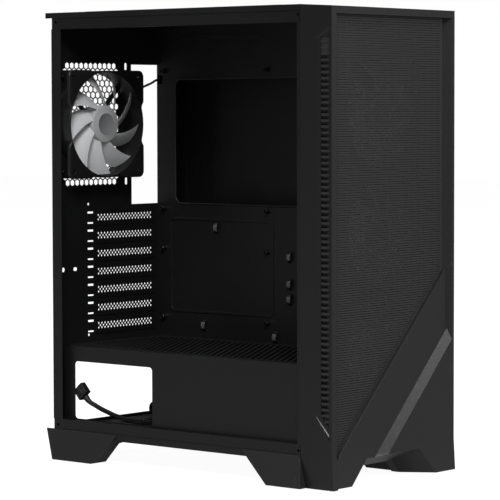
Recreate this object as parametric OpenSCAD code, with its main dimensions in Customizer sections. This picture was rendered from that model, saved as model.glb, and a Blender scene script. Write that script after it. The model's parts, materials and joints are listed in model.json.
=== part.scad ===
// Mid-tower desktop computer case with its left side panel taken off.
// +X is the right side, +Y the rear and +Z up; the origin is on the floor under the middle of the case.

/* [Case] */
// Width across the side panels
case_w = 210; // [206:1:214]
// Height of the top cover
case_h = 493; // [490:1:500]
// Sheet steel thickness
sheet_t = 1; // [0.8:0.1:1.2]
// Height of the chassis floor above the desk
floor_z = 35; // [33:1:37]
// Height of the power supply shroud
shroud_z = 126; // [124:1:130]

/* [Fans] */
// Height of the rear fan's centre
rear_fan_z = 370.5; // [366:0.5:374]
// Height of the lowest front fan's centre
front_fan_z = 136.5; // [134:0.5:138]
// Spacing of the front fans
front_fan_pitch = 123; // [121:0.5:124]
// Number of fan blades
blade_count = 9; // [7:1:11]
// Pitch angle of the fan blades
blade_pitch = 38; // [30:1:42]

/* [Front bezel] */
// Height where the mesh's diagonal lower edge meets the middle plane
mesh_diag_z = 121.5; // [118:0.5:126]
// Spacing of the mesh slots
mesh_pitch = 7.5; // [6:0.5:9]
// Spacing of the side vent slots
vent_pitch = 6.1; // [5.5:0.1:7]

/* [Controls] */
// Travel of the buttons
button_travel = 1.2; // [0.8:0.1:1.5]

/* [Hidden] */
$fn = 40;
side_x = case_w / 2;
lip_t = 1;
frame_x = side_x - lip_t;         // outer face of the left side frame
right_x = side_x - 1.3;           // outer face of the right side frame, clear of the sliding panel
seam_y = -160;                    // where the bezel meets the steel
front_y = -201;                   // front face of the bezel
rear_y = 194;                     // outer face of the rear panel
cover_y = 202;                    // rear end of the top cover
back_y = 203;                     // furthest point at the back
skirt_z = 27;                     // underside of the chassis
rail_lo = 45;                     // top of the lower side rails
rail_hi = 475;                    // underside of the upper side rails
lip_z = case_h - 5;
panel_hole_ys = [-156.5, 187];    // screw holes for the left panel, in the rails' corners
panel_hole_r = 1.6;
top_t = 1.5;                      // thickness of the top dust filter

// Motherboard tray and its standard hole pattern
tray_x = 68;
standoff_h = 6.5;
board_rows = [430.65, 273.17, 227.45, 148.71];
board_cols = [181.84, 26.9, -45.49];
cpu_hole = [-35, 279, 165.5, 421.5];
cable_holes = [[-118, 150, -96, 226], [-118, 262, -96, 338], [-118, 358, -96, 434]];
wire_notch = [185.5, 416, 426];      // lets the rear fan's wires pass behind the tray
top_rib = [33, 466, 155, 469.5];
bay_hole = [66, 46, 116, 100];
drive_hole = [-148, 40, -46, 119];
controls_hole = [-156, 465, -127];
tie_hooks = [[-5.4, 223], [-5.4, 193], [-5.4, 176], [102, 252.7], [121, 141], [15.4, 133]];

// Rear panel
fan_x = -42.5;
fan_r = 60;
fan_hole = 52.5;
fan_depth = 25;
hex_pitch = 7.52;
io_x = 23.5;
io_z = 279;
io_w = 44.45;
io_h = 158.75;
slot_z = 265.76;
slot_pitch = 20.32;
slot_count = 7;
slot_x0 = -49;
slot_x1 = 62;
tab_x = -38;
psu_x = -85;
psu_z = 36;
thumb_x = 97;
thumb_zs = [70, 440];

// Front
front_fan_y = -186;
frame_y = seam_y + sheet_t;
clip_x = 90;
clip_zs = [62, 262, 462];
deep_y = -192.5;
panel_y = -197;
rim_x0 = -97;
rim_x1 = 101;
deep_x1 = 93;
rim_z = 483;
strip_lo = 40;
chin_z = 29;
chin_low = 15;
chin_x = 43;
leg_x = 71;
leg_in = 50;

// Feet
foot_top = floor_z - 1;
flare = 10;
pad_t = 1;

// Power supply filter
psu_filter = [-73.5, 58, 51.5, 186];

// Cables: points along the middle of each one
io_cable_d = 6;
io_cable_path = [
  [78, -142, 471], [78, -142, 455], [79, -141, 440], [81, -136, 424], [83, -128, 407], [84, -118, 389],
  [84, -104, 367], [84, -90, 345], [84, -75, 323], [84, -61, 302], [84, -46, 281],
  [84, -33, 264], [84, -19, 247], [84, -5, 231], [84, 9, 215], [84, 23, 199], [84, 36, 182],
  [84, 48, 165], [84, 59, 147], [84, 68, 129], [84, 76, 111], [83, 83, 95], [81, 88, 84],
  [76, 91, 76], [68, 92, 72], [60, 92, 70], [50, 93, 62], [40, 95, 52], [28, 98, 43], [14, 101, 39], [0, 105, 38],
  [-14, 110, 38], [-28, 116, 38.5], [-42, 122, 40], [-56, 128, 44], [-68, 134, 49], [-78, 141, 55],
  [-85, 147, 60.5], [-89, 153, 65], [-90, 158, 70]
];
plug_at = [-90, 158, 70];
plug_turn = 48;
fan_cable_d = 3;
fan_cable_path = [
  [17.5, 191, 404], [24, 190.5, 406], [34, 190, 410], [44, 190, 413.5], [54, 190, 417], [62, 190, 420],
  [69, 190, 421], [75, 189, 419], [79, 187, 411], [80, 185, 398], [80, 182, 370], [80, 181, 335],
  [80, 180, 302], [80, 178.5, 281], [80, 171, 268], [80, 154, 263], [79.5, 131, 262.5], [79, 111, 262.5],
  [78, 99.5, 260], [78, 96, 252]
];
hub_at = [tray_x + sheet_t, 66, 200];

// ---------- helpers ----------

// A rectangle from corner to corner
module rect(x0, y0, x1, y1) {
  translate([x0, y0])
    square([x1 - x0, y1 - y0]);
}

// A rectangle with round corners
module round_rect(x0, y0, x1, y1, r) {
  rect(x0 + r, y0, x1 - r, y1);
  rect(x0, y0 + r, x1, y1 - r);
  for (x = [x0 + r, x1 - r], y = [y0 + r, y1 - r])
    translate([x, y])
      circle(r);
}

// A drawing in X and Z, made solid from y0 to y1
module slab_y(y0, y1) {
  translate([0, y1, 0])
    rotate([90, 0, 0])
      linear_extrude(y1 - y0)
        children();
}

// A drawing in Y and Z, made solid from x0 to x1
module slab_x(x0, x1) {
  translate([x0, 0, 0])
    rotate([90, 0, 90])
      linear_extrude(x1 - x0)
        children();
}

// A drawing in X and Y, made solid from z0 to z1
module slab_z(z0, z1) {
  translate([0, 0, z0])
    linear_extrude(z1 - z0)
      children();
}

// A box from corner to corner
module box(a, b) {
  translate(a)
    cube(b - a);
}

// A round bar along Y from y0 to y1, centred on x, z
module bar_y(x, z, r, y0, y1) {
  translate([x, y1, z])
    rotate([90, 0, 0])
      cylinder(h = y1 - y0, r = r);
}

// A round bar along X from x0 to x1, centred on y, z
module bar_x(y, z, r, x0, x1) {
  translate([x0, y, z])
    rotate([0, 90, 0])
      cylinder(h = x1 - x0, r = r);
}

// Directions and rings for a swept tube
function unit(v) = v / norm(v);
function heading(p, i) = unit(p[min(i + 1, len(p) - 1)] - p[max(i - 1, 0)]);
function side_of(t) = unit(cross(t, abs(t[2]) > 0.9 ? [1, 0, 0] : [0, 0, 1]));
function ring(c, t, r, n) = [
  for (k = [0 : n - 1])
    c + r * (cos(360 * k / n) * side_of(t) + sin(360 * k / n) * cross(side_of(t), t))
];

// A smooth tube through the points of a path
module tube(path, r, n = 8) {
  last = len(path) - 1;
  pts = [for (i = [0 : last]) each ring(path[i], heading(path, i), r, n)];
  walls = [
    for (i = [0 : last - 1], k = [0 : n - 1])
      [i * n + k, i * n + (k + 1) % n, (i + 1) * n + (k + 1) % n, (i + 1) * n + k]
  ];
  start = [[for (k = [n - 1 : -1 : 0]) k]];
  end = [[for (k = [0 : n - 1]) last * n + k]];
  polyhedron(points = pts, faces = concat(walls, start, end), convexity = 6);
}

// ---------- steel chassis ----------

// Floor pan with its two side rails and the filter's guides
module chassis_floor() {
  vent_x = [for (x = [-60 : 12 : 36]) x];
  vent_y = [for (y = [72 : 26 : 150]) y];
  color("#1c1c1e")
  difference() {
    union() {
      slab_y(seam_y + sheet_t, rear_y - sheet_t) {
        rect(-frame_x + sheet_t, floor_z - 1, right_x - sheet_t, floor_z);
        rect(-frame_x, floor_z - 1, -frame_x + sheet_t, rail_lo);
        rect(-frame_x, rail_lo - 1, -frame_x + 8.5, rail_lo);
        rect(right_x - sheet_t, floor_z - 1, right_x, rail_lo);
        for (s = [-1, 1])
          mirror([s > 0 ? 1 : 0, 0]) {
            rect(-side_x, floor_z - 2, -side_x + 8, floor_z - 1);
            rect(-side_x, skirt_z, -side_x + lip_t, floor_z - 1);
            rect(-side_x, skirt_z, -side_x + 8, skirt_z + 1);
          }
      }
      for (s = [-1, 1])
        translate([psu_filter[0] / 2 + psu_filter[2] / 2, 0, 0])
          mirror([s > 0 ? 1 : 0, 0, 0])
            slab_y(psu_filter[1], psu_filter[3] + 4) {
              rect(-64, skirt_z + 1, -63, floor_z - 1);
              rect(-64, skirt_z + 1, -60, skirt_z + 2);
            }
    }
    slab_z(floor_z - 2, floor_z + 1)
      for (x = vent_x, y = vent_y)
        round_rect(x, y, x + 8, y + 22, 3);
    for (y = panel_hole_ys)
      bar_x(y, rail_lo - 6.5, panel_hole_r, -side_x, -side_x + 4);
  }
}

// Top cover with its side lips, upper rails, vents and the cut-out for the controls
module chassis_top() {
  color("#1e1e20")
  difference() {
    union() {
      slab_y(seam_y, cover_y) {
        rect(-side_x, case_h - sheet_t, side_x, case_h);
        for (s = [-1, 1])
          mirror([s > 0 ? 1 : 0, 0])
            rect(-side_x, lip_z - 1, -side_x + lip_t, case_h - sheet_t);
      }
      slab_y(seam_y + sheet_t, rear_y - sheet_t) {
        for (s = [-1, 1])
          mirror([s > 0 ? 1 : 0, 0])
            rect(-side_x + lip_t, lip_z - 1, -side_x + 8, lip_z);
        rect(-frame_x, rail_hi, -frame_x + sheet_t, lip_z - 1);
        rect(-frame_x, rail_hi, -frame_x + 11, rail_hi + 1);
        rect(right_x - sheet_t, rail_hi, right_x, lip_z - 1);
      }
      box([-side_x + lip_t, cover_y - 1, lip_z], [side_x - lip_t, cover_y, case_h - sheet_t]);
    }
    slab_z(case_h - 2, case_h + 1)
      for (x = [-72 : 12 : 60], y = [-108 : 45 : 117])
        round_rect(x, y, x + 8, y + 40, 3);
    box([8, -154, case_h - 2], [92, -130, case_h + 1]);
    for (y = panel_hole_ys)
      bar_x(y, lip_z - 5.5, panel_hole_r, -side_x, -side_x + 4);
  }
}

// Front sheet with three fan openings and the front edges of the side openings
module front_frame() {
  color("#1a1a1c")
  difference() {
    union() {
      slab_y(seam_y, seam_y + sheet_t)
        rect(-frame_x + sheet_t, floor_z, right_x - sheet_t, case_h - sheet_t);
      slab_y(seam_y, -155) {
        rect(-frame_x, rail_lo, -frame_x + sheet_t, rail_hi);
        rect(right_x - sheet_t, rail_lo, right_x, rail_hi);
      }
    }
    for (i = [0 : 2]) {
      bar_y(0, front_fan_z + i * front_fan_pitch, 57, seam_y - 1, seam_y + 2);
      for (x = [-fan_hole, fan_hole], z = [-fan_hole, fan_hole])
        bar_y(x, front_fan_z + i * front_fan_pitch + z, 2.2, seam_y - 1, seam_y + 2);
    }
    for (x = [-clip_x, clip_x], z = clip_zs)
      bar_y(x, z, 3.2, seam_y - 1, seam_y + 2);
  }
}

// True where a grille hole fits in the clipped square behind the fan
function in_grille(x, z) = abs(x) < 42.5 && abs(z) < 66.5 && abs(x) + abs(z) < 105;

// Hexagonal holes behind the rear fan
module fan_grille() {
  row_h = hex_pitch * cos(30);
  for (j = [-10 : 10], i = [-8 : 8]) {
    x = (i + (j % 2 == 0 ? 0 : 0.5)) * hex_pitch;
    z = j * row_h;
    if (in_grille(x, z))
      translate([fan_x + x, rear_fan_z + z])
        rotate(30)
          circle(r = 3.7, $fn = 6);
  }
}

// Opening for a power supply, with room for its four screws
module psu_opening() {
  difference() {
    rect(psu_x + 3, psu_z + 3, psu_x + 147, psu_z + 83);
    for (p = psu_holes())
      translate(p)
        circle(7);
    for (x = [psu_x, psu_x + 142], z = [psu_z, psu_z + 78])
      rect(x, z, x + 8, z + 8);
  }
}

function psu_holes() = [
  [psu_x + 6, psu_z + 16], [psu_x + 6, psu_z + 80], [psu_x + 144, psu_z + 6], [psu_x + 144, psu_z + 80]
];

// Rear sheet: connector cut-out, fan grille, seven slots and the power supply opening
module rear_panel() {
  color("#1c1c1e")
  union() {
    slab_y(rear_y - sheet_t, rear_y)
      difference() {
        rect(-frame_x + sheet_t, floor_z, right_x - sheet_t, case_h - sheet_t);
        rect(io_x, io_z, io_x + io_w, io_z + io_h);
        fan_grille();
        for (x = [-fan_hole, fan_hole], z = [-fan_hole, fan_hole])
          translate([fan_x + x, rear_fan_z + z])
            circle(2.3);
        for (z = [-65, 65])
          round_rect(12.5, rear_fan_z + z - 4, 16.7, rear_fan_z + z + 4, 1.5);
        for (k = [0 : slot_count - 1])
          rect(tab_x + 4, slot_z - k * slot_pitch - 6, slot_x1 - 4, slot_z - k * slot_pitch + 6);
        for (k = [0 : slot_count - 1])
          rect(slot_x0, slot_z - k * slot_pitch - 6.9, tab_x - 1.5, slot_z - k * slot_pitch + 6.8);
        for (z = [134, 281])
          translate([-47.5, z])
            circle(1.6);
        psu_opening();
        for (p = psu_holes())
          translate(p)
            circle(2);
        translate([-88, 209])
          circle(2.6);
        round_rect(-72, 207, -66, 211, 1.5);
        for (z = thumb_zs)
          translate([thumb_x, z])
            circle(2);
      }
    slab_y(180, rear_y) {
      rect(-frame_x, rail_lo, -frame_x + sheet_t, rail_hi);
      rect(right_x - sheet_t, rail_lo, right_x, rail_hi);
    }
    slot_ledge();
  }
}

// Outward ledge that the slot covers are screwed to
module slot_ledge() {
  difference() {
    box([slot_x0 - 1.5, rear_y, slot_z - 6 * slot_pitch - 9], [slot_x0 - 0.5, 202, slot_z + 9]);
    for (k = [0 : slot_count - 1])
      bar_x(199, slot_z - k * slot_pitch, 1.5, slot_x0 - 3, slot_x0 + 1);
  }
}

// A row-and-column drawing of a slot cover's small perforations
module slot_perforations() {
  step = 5.1;
  for (j = [-1 : 1], i = [0 : j == 0 ? 16 : 17])
    translate([-32.4 + (i + (j == 0 ? 0.5 : 0)) * step, j * step / 2])
      circle(r = 1.4, $fn = 6);
}

// Perforated slot cover number k, counted from the top
module slot_cover(k) {
  z = slot_z - k * slot_pitch;
  color("#202022")
  difference() {
    union() {
      slab_y(rear_y - 2, rear_y - 1)
        difference() {
          union() {
            rect(tab_x, z - 9, slot_x1, z + 9);
            rect(slot_x0, z - 5.1, tab_x, z + 4.6);
          }
          translate([0, z])
            slot_perforations();
        }
      box([slot_x0, rear_y - 1, z - 5.1], [slot_x0 + 1, 202, z + 4.6]);
    }
    bar_x(199, z, 1.6, slot_x0 - 1, slot_x0 + 2);
  }
}

// One screw for each slot cover
module slot_screws() {
  color("#2a2a2c")
  for (k = [0 : slot_count - 1]) {
    z = slot_z - k * slot_pitch;
    bar_x(199, z, 1.4, slot_x0 - 4, slot_x0 + 1);
    bar_x(199, z, 3, slot_x0 + 1, slot_x0 + 3.5);
  }
}

// Motherboard tray with cooler cut-out, cable holes, pressed ribs and tie hooks
module motherboard_tray() {
  color("#1a1a1c")
  union() {
    slab_x(tray_x, tray_x + sheet_t)
      difference() {
        rect(seam_y + sheet_t, floor_z, rear_y - sheet_t, case_h - sheet_t);
        round_rect(cpu_hole[0], cpu_hole[1], cpu_hole[2], cpu_hole[3], 9);
        for (h = cable_holes)
          round_rect(h[0], h[1], h[2], h[3], 6);
        round_rect(bay_hole[0], bay_hole[1], bay_hole[2], bay_hole[3], 6);
        rect(drive_hole[0], drive_hole[1], drive_hole[2], drive_hole[3]);
        rect(controls_hole[0], controls_hole[1], controls_hole[2], case_h);
        rect(wire_notch[0], wire_notch[1], rear_y, wire_notch[2]);
      }
    slab_x(tray_x - 1.2, tray_x)
      difference() {
        round_rect(19, 155, 174, 263, 6);
        round_rect(21.5, 157.5, 171.5, 260.5, 4);
      }
    slab_x(tray_x - 1.2, tray_x)
      rect(top_rib[0], top_rib[1], top_rib[2], top_rib[3]);
    for (h = tie_hooks)
      tie_hook(h[0], h[1]);
  }
}

// Pressed loop for a cable tie, at y, z on the tray
module tie_hook(y, z) {
  slab_y(y - 2.5, y + 2.5)
    intersection() {
      difference() {
        translate([tray_x + 1.5, z])
          circle(6.5);
        translate([tray_x + 1.5, z])
          circle(5.2);
      }
      rect(tray_x - 6, z - 7, tray_x, z + 7);
    }
}

// Threaded standoffs in the standard board pattern
module standoffs() {
  color("#2a2a2c")
  for (y = board_cols, z = board_rows)
    if (!(y == board_cols[2] && z == board_rows[2]))
      difference() {
        translate([tray_x - standoff_h, y, z])
          rotate([0, 90, 0])
            cylinder(h = standoff_h, r = 2.9, $fn = 6);
        bar_x(y, z, 1.4, tray_x - standoff_h - 1, tray_x - 0.5);
      }
}

// Cover over the power supply bay, with a side window and slanted vents
module psu_shroud() {
  slot_angle = 31;
  color("#1b1b1d")
  union() {
    slab_z(shroud_z - 1, shroud_z)
      difference() {
        rect(-95, seam_y + sheet_t, tray_x, rear_y - 2);
        intersection() {
          polygon([[-80, -150], [56, -150], [56, 176], [-58, 176], [-80, 68]]);
          for (y = [-250 : 8 : 200])
            translate([-90, y])
              rotate(slot_angle)
                square([200, 2.6]);
        }
        rect(-95, 178, -86, rear_y);
      }
    slab_x(-95, -94)
      difference() {
        rect(seam_y + sheet_t, floor_z, 186, shroud_z - 1);
        round_rect(54, 46, 169.5, 109.5, 4);
      }
  }
}

// Two-bay drive cage under the shroud
module hdd_cage() {
  color("#202022")
  union() {
    for (y = [-150, -45])
      slab_y(y, y + 1)
        difference() {
          rect(-88, floor_z, 64, shroud_z - 2);
          for (x = [-64, 8], z = [46, 82])
            round_rect(x, z, x + 40, z + 20, 4);
        }
    box([-88, -149, shroud_z - 3], [64, -45, shroud_z - 2]);
    for (z = [42, 79])
      for (y = [-149, -53])
        box([-88, y, z], [64, y + 8, z + 1]);
  }
}

// Plate for a small drive, fixed behind the tray on four feet
module ssd_bracket() {
  color("#222224")
  union() {
    slab_x(tray_x + 7, tray_x + 8)
      difference() {
        round_rect(-60, 165, 20, 265, 4);
        round_rect(-45, 185, 5, 245, 6);
      }
    for (y = [-54, 14], z = [171, 259])
      difference() {
        bar_x(y, z, 4, tray_x + 1, tray_x + 7);
        bar_x(y, z, 1.5, tray_x, tray_x + 8);
      }
  }
}

// Four screws that hold the small drive's plate
module ssd_bracket_screws() {
  color("#2a2a2c")
  for (y = [-54, 14], z = [171, 259])
    bar_x(y, z, 3, tray_x + 8, tray_x + 10);
}

// ---------- fans: centred on the fan axis, intake face at y = 0 ----------

// Square fan frame with its duct and the four arms that carry the motor
module fan_frame() {
  color("#161618")
  difference() {
    union() {
      for (y = [[0, 4], [21, fan_depth]])
        slab_y(y[0], y[1])
          difference() {
            round_rect(-fan_r, -fan_r, fan_r, fan_r, 7);
            circle(57.8, $fn = 96);
          }
      slab_y(4, 21)
        difference() {
          circle(59.6, $fn = 96);
          circle(57.8, $fn = 96);
        }
      slab_y(21.5, 24.5) {
        circle(20.5, $fn = 64);
        for (a = [45 : 90 : 315])
          rotate(a)
            rect(19, -2.5, 58.5, 2.5);
      }
    }
    for (x = [-fan_hole, fan_hole], z = [-fan_hole, fan_hole])
      bar_y(x, z, 2.2, -1, fan_depth + 1);
  }
}

// Stator and bearing tube
module fan_motor() {
  color("#6b4a2c")
  difference() {
    bar_y(0, 0, 15.5, 6, 21.5);
    bar_y(0, 0, 1.55, 5, 20.5);
  }
}

// Hub, shaft and pitched blades
module fan_rotor() {
  color("#b9bcc0")
  union() {
    difference() {
      bar_y(0, 0, 21, 1.5, 19.5);
      bar_y(0, 0, 19, 3.5, 20);
    }
    bar_y(0, 0, 1.5, 3, 20);
    intersection() {
      difference() {
        bar_y(0, 0, 56.2, 2.5, 18.5);
        bar_y(0, 0, 20, 0, 20);
      }
      for (i = [0 : blade_count - 1])
        rotate([0, -i * 360 / blade_count, 0])
          translate([38, 10.5, 0])
            rotate([blade_pitch, 0, 0])
              cube([40, 1.6, 30], center = true);
    }
  }
}

module at_rear_fan() {
  translate([fan_x, rear_y - sheet_t - fan_depth, rear_fan_z])
    children();
}

module at_front_fan(i) {
  translate([0, front_fan_y + 1, front_fan_z + i * front_fan_pitch])
    children();
}

// Four screws for each fan
module fan_screws() {
  color("#2a2a2c")
  for (x = [-fan_hole, fan_hole], z = [-fan_hole, fan_hole]) {
    bar_y(fan_x + x, rear_fan_z + z, 2, rear_y - 12, rear_y);
    bar_y(fan_x + x, rear_fan_z + z, 3.8, rear_y, rear_y + 2);
    for (i = [0 : 2]) {
      bar_y(x, front_fan_z + i * front_fan_pitch + z, 2, seam_y - 12, frame_y);
      bar_y(x, front_fan_z + i * front_fan_pitch + z, 3.8, frame_y, frame_y + 2);
    }
  }
}

// ---------- front bezel ----------

// Outline of the bezel from the front, with the arch between its legs
module bezel_outline() {
  polygon([
    [-side_x, pad_t], [-leg_in, pad_t], [-leg_in + 14, chin_low], [leg_in - 14, chin_low],
    [leg_in, pad_t], [side_x, pad_t], [side_x, case_h], [-side_x, case_h]
  ]);
}

// Scoop that opens the arch out towards the front, between the legs and under the chin
module arch_scoop() {
  hull() {
    slab_y(front_y - 3, front_y)
      polygon([[-leg_x, 0], [-chin_x, chin_z], [chin_x, chin_z], [leg_x, 0]]);
    slab_y(-171, -170)
      polygon([[-leg_in, 0], [-leg_in + 14, chin_low], [leg_in - 14, chin_low], [leg_in, 0]]);
  }
}

// The diagonal panel and the left leg's face, set back behind the rims
module diagonal_area() {
  polygon([
    [rim_x0, 0], [-leg_x, 0], [-chin_x, chin_z], [chin_z + 2 - strip_lo - 4, chin_z + 2],
    [rim_x1, rim_x1 + strip_lo + 4], [rim_x1, rim_z], [rim_x0, rim_z]
  ]);
}

// The mesh's own deeper recess above the diagonal
module mesh_area(edge) {
  polygon([
    [rim_x0 + edge, rim_x0 + mesh_diag_z + 2.4 * edge],
    [deep_x1 - edge, deep_x1 + mesh_diag_z + 0.4 * edge],
    [deep_x1 - edge, rim_z - edge], [rim_x0 + edge, rim_z - edge]
  ]);
}

// Hollow bezel with a stepped recess on its face and windows for the mesh and side vents
module front_bezel() {
  color("#2b2b2d")
  difference() {
    intersection() {
      slab_y(front_y - 2, seam_y - 0.3)
        bezel_outline();
      slab_x(-side_x, side_x)
        polygon([
          [seam_y, pad_t], [seam_y, case_h], [front_y, case_h - 2.3], [front_y, chin_z + 5],
          [front_y - 2, pad_t]
        ]);
    }
    arch_scoop();
    // hollow behind the face and above the legs
    difference() {
      box([-side_x + 2.5, deep_y + 3, chin_z + 3], [side_x - 2.5, seam_y + 1, case_h - 6]);
      for (s = [-1, 1], z = clip_zs)
        box([s > 0 ? clip_x - 6 : -side_x, -176, z - 6], [s > 0 ? side_x : -clip_x + 6, seam_y, z + 6]);
    }
    // recess for the diagonal panel, the deeper one for the mesh, and the window behind it
    slab_y(front_y - 3, panel_y)
      diagonal_area();
    slab_y(front_y, deep_y)
      mesh_area(0);
    slab_y(deep_y - 1, deep_y + 4)
      mesh_area(4);
    // windows for the side vents
    for (s = [-1, 1])
      box([s * side_x - 6, -198, 68], [s * side_x + 6, -186, 460]);
  }
}

// Slotted mesh panel in the recess
module front_mesh() {
  rows = floor((rim_z - 44) / mesh_pitch);
  color("#333336")
  slab_y(deep_y - 1, deep_y)
    difference() {
      mesh_area(0);
      intersection() {
        mesh_area(7);
        for (k = [0 : rows], x = [-88, -44, 0, 44])
          rect(x, 40 + k * mesh_pitch, x + 40, 40 + k * mesh_pitch + 4);
      }
    }
}

// Slotted strip behind a side window of the bezel, on the left for s = -1
module side_vent(s) {
  x = s * (side_x - 3.5);
  color("#1c1c1e")
  slab_x(x - 0.75, x + 0.75)
    difference() {
      rect(-198, 68, -186, 460);
      for (z = [71 : vent_pitch : 454])
        rect(-196.5, z, -187.5, z + 3.8);
    }
}

// Snap pins that hold the bezel on the steel
module bezel_clips() {
  color("#d8d8d8")
  for (x = [-clip_x, clip_x], z = clip_zs)
    bar_y(x, z, 2.8, seam_y - 0.3, seam_y + 9);
}

// ---------- top, controls and filters ----------

// Magnetic dust filter on the top cover
module top_dust_filter() {
  color("#19191b")
  slab_z(case_h, case_h + top_t)
    difference() {
      round_rect(-80, -114, 80, 166, 5);
      for (x = [-74, -36.5, 1, 38.5], y = [-107 : 13.5 : 150])
        rect(x, y, x + 35, y + 11);
    }
}

// Dust filter that slides in under the power supply
module psu_dust_filter() {
  z = skirt_z + 2.4;
  color("#19191b")
  union() {
    slab_z(z, z + 2)
      difference() {
        rect(psu_filter[0], psu_filter[1], psu_filter[2], psu_filter[3]);
        for (x = [psu_filter[0] + 8 : 14 : psu_filter[2] - 16], y = [psu_filter[1] + 8 : 14 : psu_filter[3] - 16])
          rect(x, y, x + 11, y + 11);
      }
    box([-36, psu_filter[3], z], [14, 199, z + 2]);
    box([-36, 197, z - 1.6], [14, 199, z]);
  }
}

// Flush plate in the top cover that carries the ports and buttons
module io_panel() {
  color("#2b2b2d")
  difference() {
    union() {
      box([8, -154, case_h - 4], [92, -130, case_h]);
      for (x = [10.5, 89.5], y = [-151.5, -132.5])
        bar_z(x, y, 1.4, case_h - 14, case_h - 4);
    }
    bar_z(20, -142, 6.3, case_h - 5, case_h + 1);
    bar_z(82, -142, 2.8, case_h - 5, case_h + 1);
    for (x = [31, 47])
      box([x, -145.5, case_h - 5], [x + 13.2, -138.5, case_h + 1]);
    for (x = [66, 74.5])
      bar_z(x, -142, 3.2, case_h - 5, case_h + 1);
  }
}

// A round bar along Z from z0 to z1
module bar_z(x, y, r, z0, z1) {
  translate([x, y, z0])
    cylinder(h = z1 - z0, r = r);
}

// Circuit board under the plate, with the socket that the front cable hangs from
module io_board() {
  color("#1d4a2c")
  union() {
    slab_z(case_h - 15.6, case_h - 14)
      rect(9, -153, 91, -131);
    slab_z(case_h - 22, case_h - 15.6)
      rect(71, -146, 85, -138);
  }
}

// Two upright sockets
module usb_ports() {
  color("#b4b6ba")
  for (x = [31, 47])
    difference() {
      box([x, -145.5, case_h - 14], [x + 13.2, -138.5, case_h - 0.5]);
      box([x + 0.6, -144.9, case_h - 12], [x + 12.6, -139.1, case_h]);
    }
}

// Two round audio sockets
module audio_jacks() {
  color("#202022")
  for (x = [66, 74.5])
    difference() {
      bar_z(x, -142, 3.2, case_h - 14, case_h - 0.3);
      bar_z(x, -142, 1.8, case_h - 12, case_h);
    }
}

module power_button() {
  color("#2f2f32")
  union() {
    bar_z(20, -142, 6, case_h - 7, case_h + 1.3);
    bar_z(20, -142, 7.4, case_h - 7, case_h - 5.6);
  }
}

module reset_button() {
  color("#2f2f32")
  union() {
    bar_z(82, -142, 2.5, case_h - 7, case_h + 1.3);
    bar_z(82, -142, 3.6, case_h - 7, case_h - 5.6);
  }
}

// Small push switches under the two buttons
module button_switches() {
  color("#3a3a3c")
  for (x = [20, 82])
    box([x - 2.5, -144.5, case_h - 14], [x + 2.5, -139.5, case_h - 7 - button_travel - 0.2]);
}

// ---------- right side panel ----------

// Steel panel with a folded rear tab
module right_side_panel() {
  color("#1c1c1e")
  union() {
    box([side_x - sheet_t, seam_y + 0.5, floor_z - 0.5], [side_x, rear_y + 1.3, lip_z - 1.5]);
    difference() {
      box([thumb_x - 6, rear_y + 0.3, floor_z - 0.5], [side_x - sheet_t, rear_y + 1.3, lip_z - 1.5]);
      for (z = thumb_zs)
        bar_y(thumb_x, z, 1.8, rear_y, rear_y + 2);
    }
  }
}

// Captive thumbscrews of the right panel
module thumbscrews() {
  color("#2a2a2c")
  for (z = thumb_zs) {
    bar_y(thumb_x, z, 1.7, rear_y - 6, rear_y + 1.3);
    bar_y(thumb_x, z, 5.5, rear_y + 1.3, back_y);
  }
}

// ---------- feet ----------

// Flared foot under a side rail; top and floor give its stretch in Y at each height
module foot(top, floor, inner_top, inner_floor) {
  difference() {
    hull() {
      box([-side_x - 0.8, top[0], foot_top - 1], [-inner_top, top[1], foot_top]);
      box([-side_x - flare, floor[0], pad_t], [-inner_floor, floor[1], pad_t + 1]);
    }
    box([-side_x, top[0] - 1, skirt_z], [0, top[1] + 1, foot_top + 1]);
  }
}

module rear_foot() {
  color("#2b2b2d")
  foot([97, back_y], [127, 186], 60, 70);
}

module front_foot() {
  color("#2b2b2d")
  foot([seam_y + 0.2, -82], [seam_y + 0.2, -122], 50, 54);
}

// Rubber pad under each foot
module foot_pads() {
  color("#0e0e0e")
  for (s = [-1, 1]) {
    box([s * 90 - 12, 134, 0], [s * 90 + 12, 178, pad_t]);
    box([s * 86 - 14, -152, 0], [s * 86 + 14, -130, pad_t]);
  }
}

// ---------- cables ----------

module front_io_cable() {
  color("#0c0c0c")
  tube(io_cable_path, io_cable_d / 2);
}

// Plug on the end of the front panel cable
module cable_plug() {
  color("#111111")
  translate(plug_at)
    rotate([plug_turn, 0, 0])
      box([-4, 0, -9], [4, 16, 9]);
}

module rear_fan_cable() {
  color("#0c0c0c")
  tube(fan_cable_path, fan_cable_d / 2);
}

// Small fan hub on the back of the tray
module fan_hub() {
  color("#18181a")
  union() {
    box(hub_at, hub_at + [9, 60, 50]);
    box(hub_at + [5, 20, 50], hub_at + [12, 40, 52]);
  }
}

// ---------- assembly ----------

chassis_floor();
chassis_top();
front_frame();
rear_panel();
motherboard_tray();
psu_shroud();
for (k = [1 : slot_count])
  slot_cover(k - 1);
slot_screws();
standoffs();
hdd_cage();
ssd_bracket();
ssd_bracket_screws();
at_rear_fan() fan_frame();  // rear_fan_frame
at_rear_fan() fan_motor();  // rear_fan_motor
at_rear_fan() fan_rotor();  // rear_fan_rotor
for (i = [1 : 3]) {
  at_front_fan(i - 1) fan_frame();
  at_front_fan(i - 1) fan_motor();
  at_front_fan(i - 1) fan_rotor();
}
fan_screws();
front_bezel();
front_mesh();
side_vent(-1);  // side_vent_left
side_vent(1);  // side_vent_right
bezel_clips();
top_dust_filter();
psu_dust_filter();
io_panel();
io_board();
usb_ports();
audio_jacks();
power_button();
reset_button();
button_switches();
right_side_panel();
thumbscrews();
rear_foot();  // foot_rear_left
mirror([1, 0, 0]) rear_foot();  // foot_rear_right
front_foot();  // foot_front_left
mirror([1, 0, 0]) front_foot();  // foot_front_right
foot_pads();
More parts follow.
